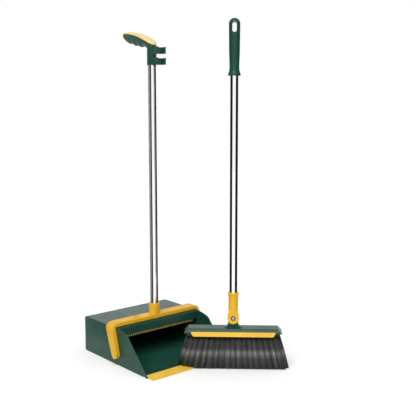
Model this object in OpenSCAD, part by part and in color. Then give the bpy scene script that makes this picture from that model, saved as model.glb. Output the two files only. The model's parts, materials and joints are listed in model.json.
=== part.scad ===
// Upright dust pan with a swinging yoke handle, and the swivel-head broom that parks in its clips.
// +Z is up, the pan's mouth faces -Y, and the origin is the centre of the pan's underside.

/* [Pan] */
// Outside width of the pan
pan_w = 275; // [250:1:300]
// Height of the pan's back and roof
pan_h = 98; // [96:1:100]
// Depth of the pan from its back to the front tips of its side walls
pan_d = 298; // [292:1:302]
// Wall thickness of the moulded shell
wall = 2.4; // [2:0.1:2.8]
// Depth of the roof over the back of the pan
roof_d = 164; // [160:1:166]
// How far the hood's front wall hangs down from the roof
hood_drop = 24; // [20:1:26]
// Height of the sill behind the lip
sill_h = 5.5; // [5.2:0.1:6.5]
// How far the soft lip runs past the side walls
lip_reach = 20; // [17:1:22]

/* [Comb] */
// Distance from one comb tooth to the next
comb_pitch = 6; // [5:0.1:7]
// Length of a comb tooth
tooth_len = 6; // [4:0.5:8]

/* [Yoke] */
// Height of the yoke's pivots above the floor
yoke_pivot_h = 30; // [28:0.5:32]
// Thickness of the bar that crosses the roof
bar_t = 12; // [11:0.5:12]
// Depth of the bar, front to back
bar_d = 30; // [28:1:31]
// Thickness of each side arm
arm_t = 11; // [9:0.5:12]
// Outside diameter of the yoke's pole socket
yoke_socket_d = 30; // [28:0.5:32]
// Height of the yoke's pole socket above the bar
yoke_socket_h = 28; // [26:1:32]
// Radius of the yoke's pivot stubs
stub_r = 5; // [4:0.5:6]

/* [Pan handle] */
// Diameter of the pan's pole
pan_pole_d = 22.5; // [20:0.5:23]
// Height of the clip sleeve's lower end
sleeve_z = 781; // [760:1:800]
// Length of the clip sleeve
sleeve_len = 48; // [47:1:56]
// Width of the hand grip
grip_w = 26; // [24:1:30]
// Distance from the pan's pole to the pole held in the clips
clip_offset = 35.5; // [34:0.5:38]
// Height of one clip
clip_h = 17; // [15:1:18]
// Part of a circle that each clip wraps, in degrees
clip_wrap = 240; // [220:5:260]

/* [Broom] */
// Position of the broom across the pan
broom_x = 80; // [76:1:92]
// Position of the broom in front of the pan, with one end over the lip
broom_y = -227; // [-290:1:-216]
// Turn of the broom's head about the vertical
broom_turn = -43; // [-43:1:-30]
// Diameter of the broom's pole
broom_pole_d = 21.5; // [20:0.5:22]
// Width of the head at its lower edge
head_w = 251; // [240:1:260]
// Depth of the head at its lower edge
head_t = 46; // [44:1:50]
// Height of the head's top face
head_top = 108; // [107:0.5:109]
// Width of the bristles at their tips
tip_w = 294; // [288:1:300]
// Number of bristle tufts along one row
tuft_count = 17; // [12:1:20]
// Height of the swivel pivot
swivel_z = 134; // [133:0.5:136]
// Overall height of the broom
broom_h = 886; // [870:1:940]
// Length of the broom's hand grip
broom_grip_len = 139; // [138:1:160]

/* [Hidden] */

$fn = 64;
eps = 0.05;
far = 400;
fit_gap = 0.05;
tube_wall = 1;

green = [0.09, 0.24, 0.19];
yellow = [0.93, 0.68, 0.16];
cream = [0.90, 0.80, 0.50];
steel = [0.75, 0.76, 0.78];
bristle_grey = [0.20, 0.20, 0.21];

// Pan: outline radii, and the places along its depth, measured forward from the back
back_y = pan_d / 2;
foot_r = 11;
roof_r = 14;
corner_r = 6;
inner_w = pan_w - 2 * wall;
hood_y = back_y - roof_d;
hood_edge_r = 4;
hood_z = pan_h - hood_drop;
ramp_f = pan_d - 30;
sill_f = pan_d - 16;
tongue_f = pan_d - 8;
tongue_end_f = pan_d - 2;
tongue_z = sill_h - 1.8;
tongue_base_z = 1.5;
relief_z = 3;
relief_f = pan_d - 22;
relief_end_f = pan_d - 10;
boss_r = 9.5;
boss_t = 3.5;

// Comb: base strip behind the hood's front wall, with its teeth below
comb_w = 250;
comb_t = 2.6;
comb_base_top = hood_z + 7;
comb_base_z = hood_z - 0.5;
tooth_root = comb_pitch * 0.6;
tooth_tip = comb_pitch * 0.3;

// Yoke
pole_y = back_y - roof_d + 21;
pivot_y = back_y - roof_d - 2;
yoke_gap = 0.7;
yoke_w = pan_w + 2 * yoke_gap + 2 * arm_t;
bar_z = pan_h + 0.8;
bar_top = bar_z + bar_t;
yoke_corner_r = 20;
bar_edge = 2.5;
arm_r = 11.5;
arm_face = pan_w / 2 + yoke_gap;
socket_top = bar_top + yoke_socket_h;
socket_floor = bar_z + 4;
pan_pole_r = pan_pole_d / 2;

// Screws that hold each pole in its socket, driven in from behind
screw_shank_r = 1.6;
screw_cap_r = 4;
screw_cap_t = 2;
screw_reach = 9;
yoke_screw_z = bar_top + 13;

// Pan handle
sleeve_r = pan_pole_r + 1.45;
sleeve_top = sleeve_z + sleeve_len;
pan_pole_top = sleeve_top + 3.5;
broom_pole_r = broom_pole_d / 2;
clip_r = broom_pole_r + 3.2;
clip_y = pole_y - clip_offset;
upper_clip_z = sleeve_z + 28;
clip_web_w = 11;
clip_lip_r = 2.4;
tip_r = grip_w / 2;
grip_reach = 125;

// Broom
lug_t = 12;
lug_r = 13;
lug_foot = 24;
fork_gap = lug_t / 2 + 0.5;
cheek_r = 14.5;
cheek_out = 13.5;
crotch_top = lug_r + 3;
screw_r = 3;
screw_head_r = 3.9;
washer_r = 6.2;
washer_t = 0.8;
counterbore_r = 6.3;
counterbore_d = 3.2;
nut_r = 5.6;
nut_t = 3;
fork_body_r = 12.3;
fork_rim_r = 13.8;
fork_rim_h = 6;
fork_top = swivel_z + 66;
pole_seat_z = swivel_z + 23;
socket_screw_z = swivel_z + 40;
head_z = head_top - 11.5;
skirt_z = head_z + 3;
head_tilt = 3.5;
head_edge_r = 3;
block_z = head_z - 7.5;
block_top = head_top - 4;
cover_wall = 2.8;
block_d = 36;
bumper_w = 216;
bumper_t = 3.5;
bumper_top = head_z + 4.5;
root_w = 240;
row_t = 9.6;
row_step = row_t + 0.4;
row_lean = 2.2;
row_short = 9;
tuft_gap = 1.6;
tuft_gap_z = 30;
grip_z = broom_h - broom_grip_len;
broom_pole_top = broom_h - 47;
hang_z = broom_h - 22;
hang_r = 5.3;
hang_straight = 15;

// Points of an arc about a centre, from one angle to another
function arc(cx, cy, r, a0, a1, n = 8) =
    [for (i = [0:n]) [cx + r * cos(a0 + (a1 - a0) * i / n), cy + r * sin(a0 + (a1 - a0) * i / n)]];

// A place at a distance forward from the pan's back, at a height
function at(f, z) = [back_y - f, z];

// A place at a distance back from the pan's pole, at a height
function behind(d, z) = [pole_y + d, z];

// Extrudes an outline drawn in Y and Z, centred across X
module across(w) {
    translate([-w / 2, 0, 0])
        rotate([90, 0, 90])
            linear_extrude(height = w) children();
}

// Extrudes an outline drawn in X and Z, from one Y to another
module deep(y0, y1) {
    translate([0, y1, 0])
        rotate([90, 0, 0])
            linear_extrude(height = y1 - y0) children();
}

// A straight cylinder along +Y
module rod_y(y0, y1, r, sides = 64) {
    translate([0, y0, 0])
        rotate([-90, 0, 0])
            cylinder(h = y1 - y0, r = r, $fn = sides);
}

// ---------------------------------------------------------------- pan

// Plan of the pan with rounded back corners, drawn in by a margin
module pan_plan(margin) {
    half = pan_w / 2 - margin;
    back = back_y - margin;
    r = corner_r - margin;
    linear_extrude(height = far, center = true)
        polygon(concat(
            arc(half - r, back - r, r, 0, 90),
            arc(-half + r, back - r, r, 90, 180),
            [[-half, -far], [half, -far]]
        ));
}

// Side view of the pan's outside
module pan_side() {
    polygon(concat(
        arc(back_y - foot_r, foot_r, foot_r, 270, 360),
        arc(back_y - roof_r, pan_h - roof_r, roof_r, 0, 90),
        [at(roof_d + 4, pan_h), at(roof_d + 22, pan_h - 3.5), at(roof_d + 36, pan_h - 6.5),
         at(roof_d + 45, pan_h - 9.5), at(roof_d + 51, pan_h - 13.5), at(roof_d + 55, pan_h - 18.5),
         at(roof_d + 58, pan_h - 22.5), at(pan_d, 0)]
    ));
}

// Side view of the hollow under the roof and over the floor, ramp and sill
module pan_hollow() {
    polygon(concat(
        arc(back_y - foot_r, foot_r, foot_r - wall, 270, 360),
        arc(back_y - roof_r, pan_h - roof_r, roof_r - wall, 0, 90),
        [[hood_y + wall, pan_h - wall], [hood_y + wall, hood_z], [-far, hood_z], [-far, -wall],
         at(tongue_end_f, -wall), at(tongue_end_f, tongue_z), at(tongue_f, tongue_z),
         at(tongue_f, sill_h), at(sill_f, sill_h), at(ramp_f, wall)]
    ));
}

// Side view of the open space in front of the hood
module pan_mouth() {
    polygon(concat(
        [[-far, hood_z - eps], [hood_y, hood_z - eps]],
        arc(hood_y + hood_edge_r, pan_h - hood_edge_r, hood_edge_r, 180, 90),
        [[hood_y + hood_edge_r, far], [-far, far]]
    ));
}

// The two bosses inside the side walls that thicken the yoke's bearings
module pivot_bosses() {
    for (side = [-1, 1])
        translate([side * (inner_w / 2 - boss_t / 2), pivot_y, yoke_pivot_h])
            rotate([0, 90, 0])
                cylinder(h = boss_t + eps, r = boss_r, center = true);
}

module pan_shell() {
    color(green) difference() {
        union() {
            difference() {
                intersection() {
                    across(pan_w) pan_side();
                    pan_plan(0);
                }
                intersection() {
                    across(inner_w) pan_hollow();
                    pan_plan(wall);
                }
                across(inner_w) pan_mouth();
            }
            pivot_bosses();
        }
        across(far) polygon([at(relief_f, -1), at(relief_end_f, -1), at(relief_end_f, relief_z),
                             at(relief_f + relief_z, relief_z)]);
        across(inner_w) polygon([at(relief_end_f - 1, -1), at(pan_d, -1), at(pan_d, tongue_base_z),
                                 at(relief_end_f - 1, tongue_base_z)]);
        translate([-far / 2, pivot_y, yoke_pivot_h])
            rotate([0, 90, 0])
                cylinder(h = far, r = stub_r + fit_gap);
    }
}

// Cream comb behind the lower edge of the hood, for cleaning the bristles
module comb_insert() {
    teeth = floor(comb_w / comb_pitch);
    start = -teeth * comb_pitch / 2;
    lower = [for (i = [0:teeth - 1], k = [0:3])
        let (mid = start + (i + 0.5) * comb_pitch, half = (k == 0 || k == 3) ? tooth_root : tooth_tip)
        [mid + (k < 2 ? -1 : 1) * half / 2, comb_base_z - ((k == 1 || k == 2) ? tooth_len : 0)]];
    color(cream)
        deep(hood_y + wall, hood_y + wall + comb_t)
            polygon(concat(lower, [[comb_w / 2, comb_base_z], [comb_w / 2, comb_base_top],
                                   [-comb_w / 2, comb_base_top], [-comb_w / 2, comb_base_z]]));
}

// Soft wedge lip, grooved over the tongue at the front of the floor
module lip_strip() {
    color(yellow)
        across(inner_w - 0.4)
            polygon([at(tongue_f, tongue_z), at(tongue_f, sill_h + 0.8),
                     at(pan_d + lip_reach - 1.2, 1.4), at(pan_d + lip_reach, 0.6),
                     at(pan_d + lip_reach - 0.4, 0), at(tongue_f + 2, 0), at(tongue_f + 2, tongue_base_z),
                     at(tongue_end_f, tongue_base_z), at(tongue_end_f, tongue_z)]);
}

// ---------------------------------------------------------------- yoke and its pole

// Cross-section of the yoke's bar, with bevelled edges
module bar_section() {
    y0 = pole_y - bar_d / 2;
    y1 = pole_y + bar_d / 2;
    polygon([[y0 + bar_edge / 2, bar_z], [y1 - bar_edge / 2, bar_z], [y1, bar_z + bar_edge / 2],
             [y1, bar_top - bar_edge], [y1 - bar_edge, bar_top], [y0 + bar_edge, bar_top],
             [y0, bar_top - bar_edge], [y0, bar_z + bar_edge / 2]]);
}

// Side view of one arm, from its round lower end up to the bar
module arm_side() {
    lean = atan2(pole_y - pivot_y, bar_z - yoke_pivot_h);
    polygon(concat(
        [[pole_y + bar_d / 2, bar_z + bar_edge / 2], [pole_y + bar_d / 2, bar_top],
         [pole_y - bar_d / 2, bar_top], [pole_y - bar_d / 2, bar_z + bar_edge / 2]],
        arc(pivot_y, yoke_pivot_h, arm_r, 180 - lean, 360 - lean, 16)
    ));
}

// Front view of the yoke's outside, which rounds its two shoulders
module yoke_front() {
    half = yoke_w / 2;
    polygon(concat(
        [[-half, 0], [half, 0]],
        arc(half - yoke_corner_r, bar_top - yoke_corner_r, yoke_corner_r, 0, 90),
        arc(-half + yoke_corner_r, bar_top - yoke_corner_r, yoke_corner_r, 90, 180)
    ));
}

module yoke() {
    color(yellow) difference() {
        union() {
            intersection() {
                union() {
                    across(yoke_w) bar_section();
                    for (side = [-1, 1])
                        translate([side * (arm_face + arm_t / 2), 0, 0])
                            across(arm_t) arm_side();
                }
                deep(-far, far) yoke_front();
            }
            for (side = [0, 180])
                translate([0, pivot_y, yoke_pivot_h])
                    rotate([0, 90, side])
                        translate([0, 0, inner_w / 2 - boss_t])
                            cylinder(h = boss_t + wall + yoke_gap + 1, r = stub_r);
            translate([0, pole_y, bar_z])
                cylinder(h = socket_top - bar_z, r = yoke_socket_d / 2);
        }
        translate([0, pole_y, socket_floor])
            cylinder(h = far, r = pan_pole_r + fit_gap);
        translate([0, pole_y, yoke_screw_z]) screw_path();
    }
}

// A thin-walled pole, standing on the origin's axis
module pole_tube(z0, z1, r) {
    translate([0, 0, z0]) difference() {
        cylinder(h = z1 - z0, r = r);
        translate([0, 0, -1])
            cylinder(h = z1 - z0 + 2, r = r - tube_wall);
    }
}

// A stepped plug that fills the foot of a pole
module pole_plug(z0, r) {
    translate([0, 0, z0]) cylinder(h = 26, r = r - tube_wall - fit_gap);
}

// The path of a socket screw, along Y from a pole's axis to well behind it
module screw_path() {
    rod_y(-screw_reach / 2, far, screw_shank_r + fit_gap);
}

// A socket screw: its shank ends inside the pole, its cap rests on the socket's wall
module side_screw(wall_r) {
    rod_y(wall_r - screw_reach - tube_wall, wall_r + eps, screw_shank_r);
    rod_y(wall_r, wall_r + screw_cap_t, screw_cap_r);
}

module pan_pole() {
    color(steel) translate([0, pole_y, 0]) difference() {
        pole_tube(socket_floor, pan_pole_top, pan_pole_r);
        translate([0, 0, yoke_screw_z]) screw_path();
    }
}

module pan_pole_plug() {
    color(bristle_grey) translate([0, pole_y, 0]) difference() {
        pole_plug(socket_floor, pan_pole_r);
        translate([0, 0, yoke_screw_z]) screw_path();
    }
}

module yoke_screw() {
    color(steel) translate([0, pole_y, yoke_screw_z]) side_screw(yoke_socket_d / 2);
}

// ---------------------------------------------------------------- pan handle

// One spring clip that opens towards -Y, with rounded lips at its mouth
module spring_clip(z) {
    mouth = (360 - clip_wrap) / 2;
    mid_r = (clip_r + broom_pole_r) / 2;
    translate([0, clip_y, z]) {
        difference() {
            cylinder(h = clip_h, r = clip_r);
            translate([0, 0, -1]) cylinder(h = clip_h + 2, r = broom_pole_r);
            translate([0, 0, -1]) linear_extrude(height = clip_h + 2)
                polygon([[0, 0], far * [-sin(mouth), -cos(mouth)], far * [sin(mouth), -cos(mouth)]]);
        }
        for (side = [-1, 1])
            translate([side * (mid_r + 1) * sin(mouth), -(mid_r + 1) * cos(mouth), 0])
                cylinder(h = clip_h, r = clip_lip_r);
        translate([-clip_web_w / 2, broom_pole_r + 1, 0])
            cube([clip_web_w, clip_offset - broom_pole_r - 1 - pan_pole_r, clip_h]);
    }
}

// Sleeve round the top of the pole, with the two clips that hold the broom
module clip_sleeve() {
    color(green) difference() {
        union() {
            translate([0, pole_y, sleeve_z]) cylinder(h = sleeve_len, r = sleeve_r);
            spring_clip(sleeve_z);
            spring_clip(upper_clip_z);
        }
        translate([0, pole_y, sleeve_z - 1]) cylinder(h = sleeve_len + 2, r = pan_pole_r + fit_gap);
    }
}

// Line between the grip and its pad, from the front of the pole to the grip's tip
function pad_line() = [behind(-sleeve_r - 1, sleeve_top + 3), behind(-8, sleeve_top + 5),
                       behind(28, sleeve_top + 19.5), behind(58, sleeve_top + 30.5),
                       behind(93, sleeve_top + 39), behind(121, sleeve_top + 41)];

function reversed(points) = [for (i = [len(points) - 1:-1:0]) points[i]];

// Plan of the grip: a stadium from the sleeve to the rounded tip
module grip_plan(half) {
    linear_extrude(height = far, center = false)
        polygon(concat(
            arc(0, pole_y + grip_reach - half, half, 0, 180, 16),
            arc(0, pole_y, half, 180, 360, 16)
        ));
}

// Hand grip, with finger scallops underneath
module pan_handle() {
    color(green) difference() {
        intersection() {
            across(grip_w) polygon(concat(
                [behind(-sleeve_r - 1, sleeve_top), behind(13, sleeve_top)],
                arc(pole_y + 30, sleeve_top - 3, 8, 140, 40, 4),
                [behind(42, sleeve_top + 1)],
                arc(pole_y + 55, sleeve_top + 1, 8, 140, 40, 4),
                [behind(68, sleeve_top + 6)],
                arc(pole_y + 81, sleeve_top + 7, 8, 140, 40, 4),
                [behind(95, sleeve_top + 14), behind(109, sleeve_top + 22), behind(119, sleeve_top + 33)],
                reversed(pad_line())
            ));
            translate([0, 0, sleeve_z]) grip_plan(tip_r);
        }
        translate([0, pole_y, sleeve_z]) cylinder(h = pan_pole_top - sleeve_z, r = pan_pole_r + fit_gap);
    }
}

// Soft pad over the top of the grip
module handle_pad() {
    color(yellow) intersection() {
        across(grip_w) polygon(concat(
            pad_line(),
            [behind(grip_reach, sleeve_top + 43), behind(121, sleeve_top + 45),
             behind(95, sleeve_top + 45.4), behind(72, sleeve_top + 42.5), behind(50, sleeve_top + 37.5),
             behind(30, sleeve_top + 31.5), behind(13, sleeve_top + 24.5), behind(0, sleeve_top + 18.5),
             behind(-12, sleeve_top + 11), behind(-sleeve_r - 1, sleeve_top + 8)]
        ));
        translate([0, 0, sleeve_z]) grip_plan(tip_r);
    }
}

// ---------------------------------------------------------------- broom

// Carries a shape from the broom's own frame (width along X) to its place in front of the pan
module at_broom() {
    translate([broom_x, broom_y, 0]) rotate([0, 0, broom_turn]) children();
}

// Side view of the head, with a margin taken off: upright skirt, sloping faces, rounded top
module head_side(margin, base, top) {
    half = head_t / 2 - margin;
    polygon(concat(
        [[-half, base], [half, base], [half, skirt_z]],
        arc(half - head_tilt - head_edge_r, top - head_edge_r, head_edge_r, 0, 90),
        arc(-half + head_tilt + head_edge_r, top - head_edge_r, head_edge_r, 90, 180),
        [[-half, skirt_z]]
    ));
}

// Front view of the head: wider at its foot than at its top
module head_front(margin, base, top) {
    half = head_w / 2 - margin;
    polygon([[-half, base], [half, base], [half - 8, top - 3], [half - 10, top],
             [-half + 10, top], [-half + 8, top - 3]]);
}

module head_solid(margin, base, top) {
    intersection() {
        across(head_w) head_side(margin, base, top);
        deep(-head_t, head_t) head_front(margin, base, top);
    }
}

// Ear that stands on the head and carries the pivot
module lug() {
    foot = head_top - 4;
    deep(-lug_t / 2, lug_t / 2)
        polygon(concat(
            [[-lug_foot, foot], [lug_foot, foot], [lug_foot, head_top + 0.5],
             [lug_foot - 6, head_top + 2.5], [lug_r, head_top + 8]],
            arc(0, swivel_z, lug_r, 0, 180, 24),
            [[-lug_r, head_top + 8], [-lug_foot + 6, head_top + 2.5], [-lug_foot, head_top + 0.5]]
        ));
}

// Moulded cover of the head, hollow underneath
module head_cover() {
    color(green) at_broom() difference() {
        union() {
            head_solid(0, head_z, head_top);
            lug();
        }
        head_solid(cover_wall, head_z, block_top);
        translate([-head_w / 2 + cover_wall, -head_t / 2 + cover_wall, head_z - 1])
            cube([head_w - 2 * cover_wall, head_t - 2 * cover_wall, 1 + eps]);
        translate([0, 0, swivel_z]) rod_y(-far, far, screw_r + fit_gap);
    }
}

// Block inside the cover that holds the bristle tufts
module bristle_block() {
    color(bristle_grey) at_broom() difference() {
        union() {
            head_solid(cover_wall, head_z, block_top);
            translate([-root_w / 2, -block_d / 2, block_z]) cube([root_w, block_d, head_z - block_z + eps]);
        }
        for (side = [-1, 1])
            translate([side * head_w / 4, 0, block_z - 1]) {
                cylinder(h = far, r = screw_shank_r + fit_gap);
                cylinder(h = 1 + screw_cap_t, r = screw_cap_r + fit_gap);
            }
    }
}

// Two screws that hold the block in the cover
module block_screws() {
    color(steel) at_broom()
        for (side = [-1, 1])
            translate([side * head_w / 4, 0, block_z]) {
                cylinder(h = block_top - block_z - 1, r = screw_shank_r);
                cylinder(h = screw_cap_t, r = screw_cap_r);
            }
}

// Soft buffer strip on one long face of the head
module bumper(y0, y1) {
    half = bumper_w / 2;
    at_broom() deep(y0, y1)
        polygon([[-half + 6, block_z], [half - 6, block_z], [half, bumper_top - 3], [half - 1, bumper_top],
                 [-half + 1, bumper_top], [-half, bumper_top - 3]]);
}

module front_bumper() {
    color(yellow) bumper(-head_t / 2 - bumper_t, -head_t / 2);
}

module rear_bumper() {
    color(yellow) bumper(head_t / 2, head_t / 2 + bumper_t);
}

// One row of bristles: tufts that fan out from the block, parted by narrow gaps at their tips.
// short is how much narrower the row is than the middle one, at each end.
module bristle_row(mid, lean, short) {
    width = tip_w - 2 * short;
    step = width / tuft_count;
    tips = [for (i = [0:tuft_count - 1], k = [0:2])
        let (x = -width / 2 + i * step)
        k == 0 ? [x + tuft_gap, 0] : k == 1 ? [x + step - tuft_gap, 0] : [(x + step) * 0.93, tuft_gap_z]];
    drawn = [for (i = [0:len(tips) - 2]) tips[i]];
    root = root_w / 2 - short;
    at_broom() intersection() {
        translate([0, mid, block_z]) rotate([-lean, 0, 0]) translate([0, 0, -block_z])
            deep(-row_t / 2, row_t / 2)
                polygon(concat(drawn, [[root, block_z + 3], [-root, block_z + 3]]));
        translate([-far / 2, -far / 2, 0]) cube([far, far, block_z]);
    }
}

// The space over the pan's sill and lip that the bristles rest above
module over_lip() {
    across(inner_w)
        polygon([at(ramp_f, -1), at(ramp_f, sill_h + 2), at(tongue_f, sill_h + 2),
                 at(pan_d + lip_reach + 1.5, 2.2), at(pan_d + lip_reach + 1.5, -1)]);
}

module front_bristles() {
    color(bristle_grey) difference() {
        bristle_row(-row_step, row_lean, row_short);
        over_lip();
    }
}

module middle_bristles() {
    color(bristle_grey) difference() {
        bristle_row(0, 0, 0);
        over_lip();
    }
}

module rear_bristles() {
    color(bristle_grey) difference() {
        bristle_row(row_step, -row_lean, row_short);
        over_lip();
    }
}

// Fork that straddles the lug, with the pole socket above it
module swivel_socket() {
    color(yellow) at_broom() translate([0, 0, swivel_z]) difference() {
        union() {
            rod_y(-cheek_out, cheek_out, cheek_r);
            translate([-fork_body_r, -cheek_out, 0])
                cube([2 * fork_body_r, 2 * cheek_out, pole_seat_z - swivel_z - 2]);
            cylinder(h = fork_top - swivel_z, r = fork_body_r);
            translate([0, 0, fork_top - swivel_z - fork_rim_h]) cylinder(h = fork_rim_h, r = fork_rim_r);
        }
        translate([-far / 2, -fork_gap, -far]) cube([far, 2 * fork_gap, far + crotch_top]);
        rod_y(-far, far, screw_r + fit_gap);
        rod_y(-far, -cheek_out + counterbore_d, counterbore_r);
        rod_y(cheek_out - nut_t, far, nut_r + fit_gap, 6);
        translate([0, 0, pole_seat_z - swivel_z]) cylinder(h = far, r = broom_pole_r + fit_gap);
        translate([0, 0, socket_screw_z - swivel_z]) screw_path();
    }
}

module pivot_screw() {
    color(steel) at_broom() translate([0, 0, swivel_z]) difference() {
        union() {
            rod_y(-cheek_out + 0.4, -cheek_out + counterbore_d - washer_t, screw_head_r);
            rod_y(-cheek_out + counterbore_d - washer_t, cheek_out, screw_r);
        }
        translate([-screw_head_r, -cheek_out, -0.7]) cube([2 * screw_head_r, 1.6, 1.4]);
    }
}

// Dark washer under the pivot screw's head
module pivot_washer() {
    color(bristle_grey) at_broom() translate([0, 0, swivel_z]) difference() {
        rod_y(-cheek_out + counterbore_d - washer_t, -cheek_out + counterbore_d, washer_r);
        rod_y(-far, far, screw_r + fit_gap);
    }
}

module pivot_nut() {
    color(steel) at_broom() translate([0, 0, swivel_z]) difference() {
        rod_y(cheek_out - nut_t, cheek_out, nut_r, 6);
        rod_y(0, far, screw_r + fit_gap);
    }
}

module broom_pole() {
    color(steel) at_broom() difference() {
        pole_tube(pole_seat_z, broom_pole_top, broom_pole_r);
        translate([0, 0, socket_screw_z]) screw_path();
    }
}

module broom_pole_plug() {
    color(bristle_grey) at_broom() difference() {
        pole_plug(pole_seat_z, broom_pole_r);
        translate([0, 0, socket_screw_z]) screw_path();
    }
}

module socket_screw() {
    color(steel) at_broom() translate([0, 0, socket_screw_z]) side_screw(fork_body_r);
}

// Side view of half the broom's grip, from its collar to its domed top
module grip_outline() {
    top_r = 14.1;
    dome_r = 13.4;
    polygon(concat(
        [[0, grip_z], [15.4, grip_z], [15.8, grip_z + 1.5], [15.6, grip_z + 4], [13.2, grip_z + 11],
         [12.2, grip_z + 20], [12.6, grip_z + 34], [13.4, grip_z + 56], [13.8, grip_z + 90],
         [top_r, broom_h - 16]],
        arc(top_r - dome_r, broom_h - dome_r, dome_r, 0, 90),
        [[0, broom_h]]
    ));
}

// Grip on the top of the broom's pole, with a hanging slot through it
module broom_grip() {
    color(green) at_broom() difference() {
        rotate_extrude() grip_outline();
        translate([0, 0, grip_z - 1]) cylinder(h = broom_pole_top - grip_z + 1, r = broom_pole_r + fit_gap);
        hang_slot();
    }
}

// The hanging slot, upright and round at both ends
module hang_slot() {
    translate([0, 0, hang_z]) {
        for (side = [-1, 1])
            translate([0, 0, side * hang_straight / 2]) rod_y(-far, far, hang_r);
        translate([-hang_r, -far, -hang_straight / 2]) cube([2 * hang_r, 2 * far, hang_straight]);
    }
}

pan_shell();
comb_insert();
lip_strip();
yoke();
pan_pole();
pan_pole_plug();
yoke_screw();
clip_sleeve();
pan_handle();
handle_pad();
head_cover();
bristle_block();
block_screws();
front_bumper();
rear_bumper();
front_bristles();
middle_bristles();
rear_bristles();
swivel_socket();
pivot_screw();
pivot_washer();
pivot_nut();
broom_pole();
broom_pole_plug();
socket_screw();
broom_grip();
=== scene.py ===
"""Upright dust pan and swivel broom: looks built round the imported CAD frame. Metres, +Z up."""

import json
import math
import random

import bpy
from mathutils import Matrix, Vector


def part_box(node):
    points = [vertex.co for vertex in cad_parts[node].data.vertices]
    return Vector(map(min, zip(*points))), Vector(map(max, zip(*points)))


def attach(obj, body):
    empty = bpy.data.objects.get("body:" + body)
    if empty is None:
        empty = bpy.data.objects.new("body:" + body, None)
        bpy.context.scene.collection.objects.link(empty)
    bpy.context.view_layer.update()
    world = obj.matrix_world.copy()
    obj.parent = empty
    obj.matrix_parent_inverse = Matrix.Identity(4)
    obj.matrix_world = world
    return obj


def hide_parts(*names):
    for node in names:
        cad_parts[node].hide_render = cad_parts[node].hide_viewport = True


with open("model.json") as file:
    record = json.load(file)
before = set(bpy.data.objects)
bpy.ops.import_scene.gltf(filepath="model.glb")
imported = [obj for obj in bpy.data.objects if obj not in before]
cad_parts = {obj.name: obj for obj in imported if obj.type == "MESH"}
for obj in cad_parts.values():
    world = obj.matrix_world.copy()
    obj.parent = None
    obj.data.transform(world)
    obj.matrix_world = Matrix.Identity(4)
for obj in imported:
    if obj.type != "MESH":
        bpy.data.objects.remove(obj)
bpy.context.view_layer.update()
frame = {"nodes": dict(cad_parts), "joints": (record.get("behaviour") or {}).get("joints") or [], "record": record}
NODES = frame["nodes"]
MM = 0.001

# ---------------------------------------------------------------- places read from the frame

BROOM_JOINT = next(j for j in frame["joints"] if j["name"] == "broom_swivel")
BROOM_AT = Vector((BROOM_JOINT["pos_m"][0], BROOM_JOINT["pos_m"][1], 0.0))
BROOM_DEPTH = Vector(BROOM_JOINT["axis"])
BROOM_TURN = math.atan2(-BROOM_DEPTH.x, BROOM_DEPTH.y)
BROOM_FRAME = Matrix.Translation(BROOM_AT) @ Matrix.Rotation(BROOM_TURN, 4, "Z")

POLE_LOW, POLE_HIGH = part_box("pan_pole")
POLE_Y = (POLE_LOW[1] + POLE_HIGH[1]) / 2
PAN_POLE_AT = Vector((0.0, POLE_Y, 0.0))
SLEEVE_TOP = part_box("clip_sleeve")[1][2]
LIP_LOW, LIP_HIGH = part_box("lip_strip")


# ---------------------------------------------------------------- node helpers

def new_material(name, color, roughness, metallic=0.0):
    """A Principled material, with its base colour, roughness and metal set."""
    mat = bpy.data.materials.new(name)
    mat.use_nodes = True
    mat.diffuse_color = (*color, 1.0)
    shader = mat.node_tree.nodes["Principled BSDF"]
    shader.inputs["Base Color"].default_value = (*color, 1.0)
    shader.inputs["Roughness"].default_value = roughness
    shader.inputs["Metallic"].default_value = metallic
    return mat, mat.node_tree, shader


def node(tree, kind, **values):
    """Adds a node and sets its properties."""
    made = tree.nodes.new(kind)
    for name, value in values.items():
        setattr(made, name, value)
    return made


def noise(tree, scale, detail=3.0, stretch=(1.0, 1.0, 1.0)):
    """Noise over object space, stretched along the axes; returns its factor output."""
    coords = node(tree, "ShaderNodeTexCoord")
    mapping = node(tree, "ShaderNodeMapping")
    mapping.inputs["Scale"].default_value = stretch
    texture = node(tree, "ShaderNodeTexNoise")
    texture.inputs["Scale"].default_value = scale
    texture.inputs["Detail"].default_value = detail
    tree.links.new(coords.outputs["Object"], mapping.inputs["Vector"])
    tree.links.new(mapping.outputs["Vector"], texture.inputs["Vector"])
    return texture.outputs["Fac"]


def ramp(tree, fac, stops):
    """A colour ramp over a factor; stops are (position, colour)."""
    made = node(tree, "ShaderNodeValToRGB")
    elements = made.color_ramp.elements
    while len(elements) < len(stops):
        elements.new(0.5)
    for element, (position, color) in zip(elements, stops, strict=True):
        element.position = position
        element.color = (*color, 1.0)
    tree.links.new(fac, made.inputs["Fac"])
    return made.outputs["Color"]


def shades(color, low, high):
    """A colour darkened and lightened by two factors."""
    return tuple(c * low for c in color), tuple(min(1.0, c * high) for c in color)


def remap(tree, value, low, high, start=0.3, stop=0.7):
    """Maps a value that runs from start to stop to one that runs from low to high, held at both ends.

    The usual start and stop are the middle range of a noise factor. Low and high may be outputs of nodes.
    """
    made = node(tree, "ShaderNodeMapRange")
    made.inputs["From Min"].default_value = start
    made.inputs["From Max"].default_value = stop
    for name, end in (("To Min", low), ("To Max", high)):
        if isinstance(end, float):
            made.inputs[name].default_value = end
        else:
            tree.links.new(end, made.inputs[name])
    tree.links.new(value, made.inputs["Value"])
    return made.outputs["Result"]


def bump(tree, shader, height, distance, strength=1.0):
    """Bumps a shader's normal by a height."""
    made = node(tree, "ShaderNodeBump")
    made.inputs["Distance"].default_value = distance
    made.inputs["Strength"].default_value = strength
    tree.links.new(height, made.inputs["Height"])
    tree.links.new(made.outputs["Normal"], shader.inputs["Normal"])


# ---------------------------------------------------------------- materials

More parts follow.
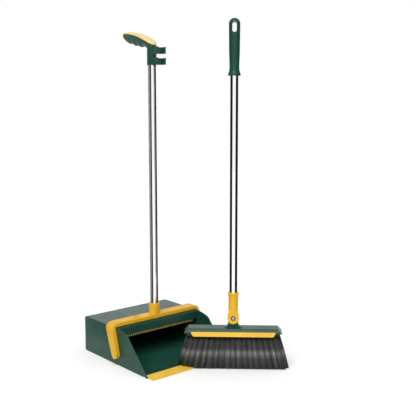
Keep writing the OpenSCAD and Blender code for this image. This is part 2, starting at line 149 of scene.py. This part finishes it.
# Width of the painted highlight along the edges of the mouldings
EDGE_HIGHLIGHT_WIDTH = 1.4 * MM
EDGE_SAMPLES = 6
# Dot product of the rounded and the true normal where the painted edge highlight starts, and where it is full
EDGE_STARTS = 0.97
EDGE_FULL = 0.80
PLASTIC_SPECULAR = 0.24
GLOSS_SPREAD = 0.05
BRISTLE_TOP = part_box("middle_bristles")[1][2]
BRISTLE_MEAN = (0.05, 0.05, 0.05)
# The darkest colour, at the roots, is painted shade under the head; the palest, at mid height, is a painted
# highlight band
BRISTLE_ROOT_SHADE = (0.016, 0.016, 0.016)
BRISTLE_MID = (0.060, 0.060, 0.060)
BRISTLE_HIGHLIGHT_BAND = (0.210, 0.210, 0.210)
BRISTLE_LOW = (0.065, 0.066, 0.065)
BRISTLE_SHADING_BANDS = [(0.0, BRISTLE_LOW), (0.30, BRISTLE_LOW), (0.48, BRISTLE_HIGHLIGHT_BAND), (0.60, BRISTLE_MID),
                 (1.0, BRISTLE_ROOT_SHADE)]
GREEN = (0.011, 0.058, 0.039)
# The paler edge colours are painted highlights along the edges of each moulding
GREEN_EDGE_HIGHLIGHT = (0.060, 0.150, 0.115)
YELLOW = (0.69, 0.375, 0.013)
YELLOW_EDGE_HIGHLIGHT = (0.80, 0.52, 0.08)
LIP_YELLOW = (0.76, 0.45, 0.03)
PAD_YELLOW = (0.80, 0.60, 0.23)
CREAM = (0.66, 0.44, 0.12)
CREAM_EDGE_HIGHLIGHT = (0.75, 0.55, 0.20)
CHARCOAL = (0.022, 0.023, 0.024)
CHARCOAL_EDGE_HIGHLIGHT = (0.05, 0.05, 0.05)
CHROME = (0.94, 0.94, 0.95)
ZINC = (0.42, 0.42, 0.44)


def paint_edge_highlight(tree, color, highlight_color, radius):
    """Blends a colour to a paler one within a radius of an edge: a painted highlight where light would catch the
    rounded edges.
    """
    rounded = node(tree, "ShaderNodeBevel", samples=EDGE_SAMPLES)
    rounded.inputs["Radius"].default_value = radius
    surface = node(tree, "ShaderNodeNewGeometry")
    match = node(tree, "ShaderNodeVectorMath", operation="DOT_PRODUCT")
    tree.links.new(rounded.outputs["Normal"], match.inputs[0])
    tree.links.new(surface.outputs["Normal"], match.inputs[1])
    # Painted highlight: the colour turns paler where the surface rounds over an edge
    painted_highlight = remap(tree, match.outputs["Value"], 0.0, 1.0, start=EDGE_STARTS, stop=EDGE_FULL)
    mix = node(tree, "ShaderNodeMix", data_type="RGBA")
    tree.links.new(painted_highlight, mix.inputs["Factor"])
    tree.links.new(color, mix.inputs["A"])
    mix.inputs["B"].default_value = (*highlight_color, 1.0)
    return mix.outputs["Result"]


def moulded_plastic(name, color, highlight_color, rough, grain_depth):
    """Injection-moulded plastic: faint flow mottling, a fine grain, a painted highlight along its edges and uneven
    gloss.
    """
    mat, tree, shader = new_material(name, color, rough)
    dark, light = shades(color, low=0.88, high=1.12)
    flow = ramp(tree, noise(tree, scale=9.0, detail=4.0), [(0.32, dark), (0.68, light)])
    tree.links.new(paint_edge_highlight(tree, flow, highlight_color, EDGE_HIGHLIGHT_WIDTH), shader.inputs["Base Color"])
    shader.inputs["Specular IOR Level"].default_value = PLASTIC_SPECULAR
    smears = noise(tree, scale=34.0, detail=5.0)
    gloss = remap(tree, smears, rough - GLOSS_SPREAD, rough + GLOSS_SPREAD)
    tree.links.new(gloss, shader.inputs["Roughness"])
    bump(tree, shader, noise(tree, scale=1400.0, detail=2.0), distance=grain_depth, strength=0.35)
    return mat


def soft_rubber(name, color):
    """Thermoplastic rubber: matt, with a faint sheen and a velvety fine grain."""
    mat, tree, shader = new_material(name, color, roughness=0.55)
    dark, light = shades(color, low=0.93, high=1.05)
    clouds = ramp(tree, noise(tree, scale=22.0, detail=4.0), [(0.3, dark), (0.7, light)])
    tree.links.new(clouds, shader.inputs["Base Color"])
    gloss = remap(tree, noise(tree, scale=60.0), low=0.46, high=0.62)
    tree.links.new(gloss, shader.inputs["Roughness"])
    shader.inputs["Sheen Weight"].default_value = 0.08
    bump(tree, shader, noise(tree, scale=2200.0, detail=2.0), distance=0.00008, strength=0.5)
    return mat


def chrome_tube():
    """Chromed tube: mirror-bright, with faint drawing lines along its length."""
    mat, tree, shader = new_material("chrome_tube", CHROME, roughness=0.05, metallic=1.0)
    smears = noise(tree, scale=14.0, detail=4.0, stretch=(1.0, 1.0, 0.25))
    tree.links.new(remap(tree, smears, low=0.03, high=0.07), shader.inputs["Roughness"])
    draw_lines = noise(tree, scale=900.0, detail=2.0, stretch=(1.0, 1.0, 0.01))
    bump(tree, shader, draw_lines, distance=0.00002, strength=0.15)
    return mat


def plated_steel():
    """Zinc-plated screw steel, brushed and dull."""
    mat, tree, shader = new_material("screw_steel", ZINC, roughness=0.35, metallic=1.0)
    gloss = remap(tree, noise(tree, scale=300.0, detail=4.0), low=0.25, high=0.45)
    tree.links.new(gloss, shader.inputs["Roughness"])
    bump(tree, shader, noise(tree, scale=1500.0), distance=0.00003, strength=0.4)
    return mat


def bristle_fibre():
    """Grey polypropylene filaments: each its own tone with painted shade towards its tuft's edges, a painted
    highlight band at mid height and painted shade at the roots.
    """
    mat, tree, shader = new_material("bristle", BRISTLE_MEAN, roughness=0.42)
    coords = node(tree, "ShaderNodeTexCoord")
    split = node(tree, "ShaderNodeSeparateXYZ")
    tree.links.new(coords.outputs["Object"], split.inputs["Vector"])
    height = remap(tree, split.outputs["Z"], 0.0, 1.0, start=0.0, stop=BRISTLE_TOP)
    # Painted shade at the roots and a painted highlight band at mid height, set by height above the floor
    height_shading = ramp(tree, height, BRISTLE_SHADING_BANDS)
    tone = node(tree, "ShaderNodeAttribute", attribute_name="tone")
    mix = node(tree, "ShaderNodeMix", data_type="RGBA", blend_type="MULTIPLY")
    mix.inputs["Factor"].default_value = 1.0
    tree.links.new(height_shading, mix.inputs["A"])
    tree.links.new(tone.outputs["Color"], mix.inputs["B"])
    tree.links.new(mix.outputs["Result"], shader.inputs["Base Color"])
    gloss = remap(tree, noise(tree, scale=250.0), low=0.36, high=0.5)
    tree.links.new(gloss, shader.inputs["Roughness"])
    return mat


green_plastic = moulded_plastic("green_plastic", GREEN, GREEN_EDGE_HIGHLIGHT, rough=0.30, grain_depth=0.00006)
yellow_plastic = moulded_plastic("yellow_plastic", YELLOW, YELLOW_EDGE_HIGHLIGHT, rough=0.30, grain_depth=0.00005)
cream_plastic = moulded_plastic("cream_plastic", CREAM, CREAM_EDGE_HIGHLIGHT, rough=0.45, grain_depth=0.00004)
dark_plastic = moulded_plastic("dark_plastic", CHARCOAL, CHARCOAL_EDGE_HIGHLIGHT, rough=0.5, grain_depth=0.00005)
yellow_rubber = soft_rubber("yellow_rubber", LIP_YELLOW)
pad_rubber = soft_rubber("pad_rubber", PAD_YELLOW)
tube_chrome = chrome_tube()
screw_steel = plated_steel()
bristle_grey = bristle_fibre()

SLOT_MATERIALS = {
    "green_plastic": green_plastic,
    "yellow_plastic": yellow_plastic,
    "cream_plastic": cream_plastic,
    "dark_plastic": dark_plastic,
    "yellow_rubber": yellow_rubber,
    "chrome_tube": tube_chrome,
    "screw_steel": screw_steel,
    "bristle": bristle_grey,
}

# ---------------------------------------------------------------- CAD nodes: finish and softened edges

# Radius of each node's edges, in millimetres
EDGE_RADIUS = {
    "pan_shell": 0.7, "comb_insert": 0.25, "lip_strip": 0.3, "yoke": 1.6, "clip_sleeve": 0.6,
    "head_cover": 0.9, "front_bumper": 0.8, "rear_bumper": 0.8, "swivel_socket": 0.9,
    "broom_grip": 1.0, "pivot_screw": 0.3, "pivot_nut": 0.3, "yoke_screw": 0.4, "socket_screw": 0.4,
}
SHARP_ANGLE = math.radians(38)
WELD_DISTANCE = 0.01 * MM


def dress_cad_nodes():
    """Gives each CAD node its material and its rounded edges."""
    slots = {entry["node"]: entry["material_slot"] for entry in frame["record"]["subparts"]}
    for name, obj in NODES.items():
        material = SLOT_MATERIALS[slots[name]]
        if not obj.material_slots:
            obj.data.materials.append(material)
        for place in obj.material_slots:
            place.material = material
        soften(obj, EDGE_RADIUS.get(name, 0.0) * MM)


def soften(obj, radius):
    """Welds a CAD mesh's doubled points and rounds its sharp edges."""
    weld = obj.modifiers.new("weld", "WELD")
    weld.merge_threshold = WELD_DISTANCE
    if radius:
        bevel = obj.modifiers.new("edge", "BEVEL")
        bevel.width = radius
        bevel.segments = 3
        bevel.limit_method = "ANGLE"
        bevel.angle_limit = SHARP_ANGLE
        bevel.miter_outer = "MITER_ARC"


dress_cad_nodes()

# ---------------------------------------------------------------- mesh helpers

def add_mesh(name, points, faces, material):
    """A mesh object from points and faces, with one material."""
    mesh = bpy.data.meshes.new(name)
    mesh.from_pydata(points, [], faces)
    mesh.materials.append(material)
    mesh.update()
    obj = bpy.data.objects.new(name, mesh)
    bpy.context.scene.collection.objects.link(obj)
    return obj


def subdivide(obj, levels):
    """Smooth shading and a subdivision surface."""
    obj.data.polygons.foreach_set("use_smooth", [True] * len(obj.data.polygons))
    smooth = obj.modifiers.new("subdivision", "SUBSURF")
    smooth.levels = levels
    smooth.render_levels = levels


def loft(name, rings, material, levels=1):
    """A closed skin over rings of points, with a fan over each end."""
    count = len(rings[0])
    points = [point for ring in rings for point in ring]
    faces = []
    for low in range(0, len(points) - count, count):
        for i in range(count):
            j = (i + 1) % count
            faces.append((low + i, low + j, low + count + j, low + count + i))
    for ring, flip in ((rings[0], True), (rings[-1], False)):
        start = 0 if flip else len(rings) * count - count
        points.append(tuple(sum(values) / count for values in zip(*ring, strict=True)))
        hub = len(points) - 1
        for i in range(count):
            j = (i + 1) % count
            faces.append((start + j, start + i, hub) if flip else (start + i, start + j, hub))
    obj = add_mesh(name, points, faces, material)
    subdivide(obj, levels)
    return obj


def through(stops, place):
    """A smooth value through (place, value) stops: a Catmull-Rom curve held flat past its ends."""
    if place <= stops[0][0]:
        return stops[0][1]
    if place >= stops[-1][0]:
        return stops[-1][1]
    i = max(k for k in range(len(stops) - 1) if stops[k][0] <= place)
    (x1, y1), (x2, y2) = stops[i], stops[i + 1]
    x0, y0 = stops[max(i - 1, 0)]
    x3, y3 = stops[min(i + 2, len(stops) - 1)]
    span = x2 - x1
    t = (place - x1) / span
    slope1 = (y2 - y0) / (x2 - x0) * span
    slope2 = (y3 - y1) / (x3 - x1) * span
    rise = (2 * t**3 - 3 * t**2 + 1) * y1 + (t**3 - 2 * t**2 + t) * slope1
    return rise + (3 * t**2 - 2 * t**3) * y2 + (t**3 - t**2) * slope2


# ---------------------------------------------------------------- pan handle and its pad

# The handle's sizes are in millimetres. Distances run back from the pole; heights are above the sleeve.
HANDLE_FRONT = -13.6
HANDLE_TIP = 125.0
HANDLE_TIP_R = 14.5
HANDLE_HALF_W = 13.0
# Distance and half width
WAIST = [(0, 13), (28, 12.2), (58, 12.4), (90, 13), (110, 12.6)]
# Distance and height
PAD_SEAM = [(-14, 3), (-8, 5), (8, 11.5), (28, 19.5), (58, 30.5), (93, 38.5), (113, 40.6), (125, 41.4)]
PAD_TOP = [(-14, 6), (-12, 10.5), (-6, 15), (0, 18.5), (13, 24.5), (30, 31.5), (50, 37.5), (72, 42.5),
           (95, 45.3), (113, 45.2), (122, 43.8), (125, 42)]
FINGERS = [(-14, -7), (8, -7), (15, -3.5), (21, 1), (30, 5), (38, 2), (42, 0.9), (47, 2.6), (55, 9),
           (63, 6.6), (68, 5.8), (73, 8.6), (81, 15), (89, 13), (95, 14), (102, 17), (110, 22),
           (118, 28.5), (123, 35), (125, 40)]
# Room left between the seam and each of the two pieces that meet there
SEAM_ROOM = 0.3
THINNEST = 0.3
NARROWEST = 0.05
END_MARGIN = 0.15
PAD_INSET = 0.35
HANDLE_SECTIONS = 54
HALF_RING = 10
# Part of the half width at which the flat of a section has its extra points
SEAM_PLACE = 0.6
# How full a section is: 1 gives an ellipse, and less gives a squarer one
HANDLE_FULLNESS = 0.72
PAD_FULLNESS = 0.66


def handle_half_width(behind):
    """Half width of the handle's plan: round over the pole, waisted in the middle, round at the tip."""
    front = HANDLE_FRONT + HANDLE_HALF_W
    if behind < front:
        return math.sqrt(max(0.0, HANDLE_HALF_W**2 - (front - behind)**2))
    width = through(WAIST, behind)
    past = behind - HANDLE_TIP + HANDLE_TIP_R
    if past > 0:
        width *= math.sqrt(max(0.0, 1 - (past / HANDLE_TIP_R)**2))
    return width


def handle_stations():
    """Places along the handle, closer together at its two ends."""
    middle = (HANDLE_FRONT + HANDLE_TIP) / 2
    half = (HANDLE_TIP - HANDLE_FRONT) / 2 - END_MARGIN
    return [middle - half * math.cos(math.pi * i / HANDLE_SECTIONS)
            for i in range(HANDLE_SECTIONS + 1)]


def half_section(behind, edge_z, far_z, inset, fullness):
    """Half of a rounded section, from one side over its far side to the other, closed along the seam."""
    width = max(NARROWEST, handle_half_width(behind) - inset)
    arch = []
    for i in range(HALF_RING + 1):
        angle = math.pi * i / HALF_RING
        across = math.copysign(abs(math.cos(angle))**fullness, math.cos(angle))
        arch.append((width * across, edge_z + (far_z - edge_z) * math.sin(angle)**fullness))
    seam = [(-width * SEAM_PLACE, edge_z), (0.0, edge_z), (width * SEAM_PLACE, edge_z)]
    return [(x * MM, POLE_Y + behind * MM, SLEEVE_TOP + z * MM) for x, z in arch + seam]


def pan_handle():
    """Green handle with finger bumps underneath, flat along its top where the pad sits."""
    rings = []
    for behind in handle_stations():
        seam = through(PAD_SEAM, behind) - SEAM_ROOM
        under = min(through(FINGERS, behind), seam - THINNEST)
        rings.append(half_section(behind, seam, under, 0.0, HANDLE_FULLNESS)[::-1])
    obj = loft("pan_handle_grip", rings, green_plastic)
    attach(obj, "pan_upright")
    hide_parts("pan_handle")


def handle_pad():
    """Pale soft pad, crowned across the top of the handle."""
    rings = []
    for behind in handle_stations():
        seam = through(PAD_SEAM, behind) + SEAM_ROOM
        crown = max(through(PAD_TOP, behind), seam + THINNEST)
        rings.append(half_section(behind, seam, crown, PAD_INSET, PAD_FULLNESS))
    obj = loft("handle_soft_pad", rings, pad_rubber)
    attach(obj, "pan_upright")
    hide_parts("handle_pad")


pan_handle()
handle_pad()

# ---------------------------------------------------------------- bristles

FILAMENTS = 4200
FILAMENT_R = 0.52 * MM
FILAMENT_RINGS = (0.0, 0.4, 0.75, 1.0)
FILAMENT_SIDES = 3
FILAMENT_TAPER = 0.3
LOCKS_PER_TUFT = 4
ROOT_SUNK = 1.5 * MM
# Parts of a tuft's pitch and of the row's half thickness that filaments fill, at the root and the tip
ROOT_PITCH_FILL = 0.92
ROOT_THICK_FILL = 0.86
TIP_PITCH_FILL = 1.06
TIP_THICK_FILL = 0.95
STRAY = 0.8 * MM
# How far a tip ends above the floor or the lip
WISP_LEAST = 0.3 * MM
WISP_RANGE = 3.0 * MM
# Usual bow of a filament along the row and through it, in millimetres
BOW_ALONG = 0.7
BOW_THROUGH = 0.5
LOCK_SPREAD = 0.28
TONE_SPREAD = 0.3
# Painted light and shade across each tuft: lighter at its core, darker towards its edges
TUFT_CORE_HIGHLIGHT = 1.35
TUFT_EDGE_SHADE = 0.75
LIP_CLEARANCE = 1.0 * MM
LIP_EDGE_Z = 1.4 * MM
SAME_LEVEL = 0.1 * MM


def row_size(name):
    """A bristle row's root and tip, from its CAD solid in the broom's own frame."""
    back = BROOM_FRAME.inverted()
    corners = [back @ vertex.co for vertex in NODES[name].data.vertices]
    top = max(corner.z for corner in corners)
    roots = [corner for corner in corners if corner.z > top - SAME_LEVEL]
    tips = [corner for corner in corners if corner.z < SAME_LEVEL]
    return {
        "top": top,
        "root_half": max(corner.x for corner in roots),
        "tip_half": max(corner.x for corner in tips),
        "root_y": (min(c.y for c in roots) + max(c.y for c in roots)) / 2,
        "tip_y": (min(c.y for c in tips) + max(c.y for c in tips)) / 2,
        "half_t": (max(c.y for c in roots) - min(c.y for c in roots)) / 2,
    }


def floor_under(place):
    """Height that a bristle's end rests at: the floor, or the pan's lip where the broom stands over it."""
    world = BROOM_FRAME @ place
    if not LIP_LOW[0] < world.x < LIP_HIGH[0] or world.y < LIP_LOW[1]:
        return 0.0
    slope = (LIP_HIGH[2] - LIP_EDGE_Z) / (LIP_HIGH[1] - LIP_LOW[1])
    return min(LIP_HIGH[2], LIP_EDGE_Z + slope * (world.y - LIP_LOW[1])) + LIP_CLEARANCE


def filament(dice, size, tufts, locks):
    """One filament's root, tip, bow and tone, with painted shade towards its tuft's edges: tufts are round at the
    block and meet at the floor.
    """
    tuft = dice.randrange(tufts)
    middle = (2 * tuft + 1) / tufts - 1
    spin = dice.uniform(0, 2 * math.pi)
    spread = math.sqrt(dice.random())
    side = spread * math.cos(spin)
    depth = spread * math.sin(spin)
    root_pitch = size["root_half"] / tufts
    tip_pitch = size["tip_half"] / tufts
    root = Vector((middle * size["root_half"] + side * root_pitch * ROOT_PITCH_FILL,
                   size["root_y"] + depth * size["half_t"] * ROOT_THICK_FILL, size["top"] + ROOT_SUNK))
    stray = dice.gauss(0, 1) * STRAY
    tip = Vector((middle * size["tip_half"] + side * tip_pitch * TIP_PITCH_FILL + stray,
                  size["tip_y"] + dice.uniform(-TIP_THICK_FILL, TIP_THICK_FILL) * size["half_t"], 0.0))
    limit = size["tip_half"] - FILAMENT_R
    tip.x = max(-limit, min(limit, tip.x))
    wisp = WISP_LEAST + dice.random()**3 * WISP_RANGE
    end = floor_under(tip) + wisp
    tip = root + (tip - root) * ((root.z - end) / root.z)
    bow = Vector((dice.gauss(0, BOW_ALONG), dice.gauss(0, BOW_THROUGH), 0)) * MM
    place = min(LOCKS_PER_TUFT - 1, int((side + 1) / 2 * LOCKS_PER_TUFT))
    lock = locks[tuft * LOCKS_PER_TUFT + place]
    # Painted shade: filaments towards a tuft's edges come out darker, those at its core lighter
    tuft_shading = TUFT_CORE_HIGHLIGHT - TUFT_EDGE_SHADE * abs(side)
    return root, tip, bow, tuft_shading * lock * dice.uniform(1 - TONE_SPREAD, 1 + TONE_SPREAD)


def add_filament(points, faces, root, tip, bow, turn):
    """Adds one bowed, tapered filament's rings of points and its faces, closed at both ends."""
    start = len(points)
    for t in FILAMENT_RINGS:
        middle = root.lerp(tip, t) + bow * math.sin(math.pi * t)
        radius = FILAMENT_R * (1.0 - FILAMENT_TAPER * t)
        for k in range(FILAMENT_SIDES):
            angle = turn + k * 2 * math.pi / FILAMENT_SIDES
            offset = Vector((radius * math.cos(angle), radius * math.sin(angle), 0))
            points.append(BROOM_FRAME @ (middle + offset))
    end = len(points) - FILAMENT_SIDES
    for ring in range(start, end, FILAMENT_SIDES):
        for k in range(FILAMENT_SIDES):
            m = (k + 1) % FILAMENT_SIDES
            above = ring + FILAMENT_SIDES
            faces.append((ring + m, ring + k, above + k, above + m))
    faces.append(tuple(reversed(range(end, len(points)))))
    faces.append(tuple(range(start, start + FILAMENT_SIDES)))


def bristles(name, node_name, tufts, seed):
    """One row of bristles as separate filaments, each with its own tone and painted shade towards its tuft's
    edges.
    """
    dice = random.Random(seed)
    size = row_size(node_name)
    locks = [dice.uniform(1 - LOCK_SPREAD, 1 + LOCK_SPREAD) for _ in range(tufts * LOCKS_PER_TUFT)]
    points = []
    faces = []
    tones = []
    for _ in range(FILAMENTS):
        root, tip, bow, tone = filament(dice, size, tufts, locks)
        add_filament(points, faces, root, tip, bow, dice.uniform(0, 2 * math.pi))
        tones += [tone] * (len(points) - len(tones))
    obj = add_mesh(name, points, faces, bristle_grey)
    obj.data.polygons.foreach_set("use_smooth", [True] * len(faces))
    # The tone attribute holds each filament's own tone times the painted tuft shading
    shade = obj.data.attributes.new("tone", "FLOAT_COLOR", "POINT")
    shade.data.foreach_set("color", [value for tone in tones for value in (tone, tone, tone, 1.0)])
    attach(obj, "broom_head")
    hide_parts(node_name)


bristles("front_bristle_row", "front_bristles", tufts=17, seed=11)
bristles("middle_bristle_row", "middle_bristles", tufts=16, seed=12)
bristles("rear_bristle_row", "rear_bristles", tufts=17, seed=13)

# ---------------------------------------------------------------- stage, light and camera

FLOOR_HALF = 6.0
FLOOR_GAP = 0.5 * MM
OVERHEAD_GREY = 0.30
# Upward part of a reflected direction where the grey starts, and where it is full
OVERHEAD_STARTS = 0.45
OVERHEAD_FULL = 0.80
AMBIENT = 0.5
VIEW_TURN = math.radians(-40.87)
VIEW_PITCH = math.radians(7.50)
# The camera's lens and sensor, in millimetres
LENS = 60.577
SENSOR_WIDTH = 36.0
CAMERA_AT = (-1.117, -1.511, 0.649)
BLACK = 0.01
CARD_NEAR = 46 * MM
CARD_FAR = 60 * MM
# Bottom and top of the cards beside each pole
BROOM_POLE_SPAN = (0.16, 0.89)
PAN_POLE_SPAN = (0.115, 0.79)
SIDE_CARD_FROM = Vector((-0.203, 0.249, 0.0))
SIDE_CARD_TO = Vector((-0.461, -0.188, 0.0))
SIDE_CARD_TOP = 1.15


def floor():
    """A pale studio floor under everything."""
    mat, _, _ = new_material("studio_floor", (0.95, 0.95, 0.95), 0.8)
    half = FLOOR_HALF
    points = [(-half, -half, 0), (half, -half, 0), (half, half, 0), (-half, half, 0)]
    obj = add_mesh("studio_floor", points, [(0, 1, 2, 3)], mat)
    obj.location.z = -FLOOR_GAP


def card(name, tone, start, end, base, top):
    """An upright card that only reflections see, above the line between two places on the floor."""
    mat, _, _ = new_material(name, (tone, tone, tone), 1.0)
    low, high = Vector((0.0, 0.0, base)), Vector((0.0, 0.0, top))
    corners = [start + low, end + low, end + high, start + high]
    obj = add_mesh(name, corners, [(0, 1, 2, 3)], mat)
    obj.visible_camera = False
    obj.visible_diffuse = False
    obj.visible_shadow = False
    obj.visible_transmission = False


def beside(pole_at, azimuth, distance):
    """A place at a distance from a pole, at an azimuth in degrees from +X."""
    turn = math.radians(azimuth)
    return pole_at + distance * Vector((math.cos(turn), math.sin(turn), 0.0))


def streak_card(name, tone, pole_at, start, end, distance, height):
    """A card close beside a pole, between two azimuths: it draws one streak down the chrome."""
    base, top = height
    card(name, tone, beside(pole_at, start, distance), beside(pole_at, end, distance), base, top)


def sun(name, azimuth, elevation, spread, strength):
    """A broad soft light from far away; azimuth from +X, elevation and spread are in degrees."""
    data = bpy.data.lights.new(name, "SUN")
    data.angle = math.radians(spread)
    data.energy = strength
    obj = bpy.data.objects.new(name, data)
    flat = math.cos(math.radians(elevation))
    toward = Vector((flat * math.cos(math.radians(azimuth)), flat * math.sin(math.radians(azimuth)),
                     math.sin(math.radians(elevation))))
    obj.rotation_euler = toward.to_track_quat("Z", "Y").to_euler()
    bpy.context.scene.collection.objects.link(obj)


def world_light():
    """White surroundings: full strength when seen, dimmer as a light, and grey overhead in reflections."""
    world = bpy.data.worlds.new("studio")
    world.use_nodes = True
    tree = world.node_tree
    coords = node(tree, "ShaderNodeTexCoord")
    split = node(tree, "ShaderNodeSeparateXYZ")
    tree.links.new(coords.outputs["Generated"], split.inputs["Vector"])
    up = split.outputs["Z"]
    overhead = remap(tree, up, 1.0, OVERHEAD_GREY, start=OVERHEAD_STARTS, stop=OVERHEAD_FULL)
    path = node(tree, "ShaderNodeLightPath")
    reflected = remap(tree, path.outputs["Is Glossy Ray"], AMBIENT, overhead, start=0.0, stop=1.0)
    strength = remap(tree, path.outputs["Is Camera Ray"], reflected, 1.0, start=0.0, stop=1.0)
    background = tree.nodes["Background"]
    background.inputs["Color"].default_value = (1, 1, 1, 1)
    tree.links.new(strength, background.inputs["Strength"])
    bpy.context.scene.world = world


def camera():
    """The camera, in front and to the left, three quarters of the way up and looking down a little."""
    data = bpy.data.cameras.new("camera")
    data.sensor_width = SENSOR_WIDTH
    data.lens = LENS
    obj = bpy.data.objects.new("camera", data)
    obj.location = CAMERA_AT
    obj.rotation_euler = (math.radians(90) - VIEW_PITCH, 0, VIEW_TURN)
    bpy.context.scene.collection.objects.link(obj)
    bpy.context.scene.camera = obj


floor()
card("side_card", 0.42, SIDE_CARD_FROM, SIDE_CARD_TO, base=0.0, top=SIDE_CARD_TOP)
streak_card("broom_right_card", BLACK, BROOM_AT, -97.4, -13.7, CARD_NEAR, BROOM_POLE_SPAN)
streak_card("broom_left_card", BLACK, BROOM_AT, 107.7, 190.1, CARD_NEAR, BROOM_POLE_SPAN)
streak_card("pan_right_card", BLACK, PAN_POLE_AT, -64.3, 2.5, CARD_NEAR, PAN_POLE_SPAN)
streak_card("pan_left_card", 0.02, PAN_POLE_AT, 185.0, 214.4, CARD_NEAR, PAN_POLE_SPAN)
streak_card("pan_grey_card", 0.36, PAN_POLE_AT, 181.9, 131.6, CARD_FAR, PAN_POLE_SPAN)
streak_card("pan_pale_card", 0.55, PAN_POLE_AT, 131.6, 97.7, CARD_FAR, PAN_POLE_SPAN)
world_light()
sun("key", azimuth=215, elevation=52, spread=50, strength=2.5)
camera()
bpy.context.scene.view_settings.view_transform = "Standard"
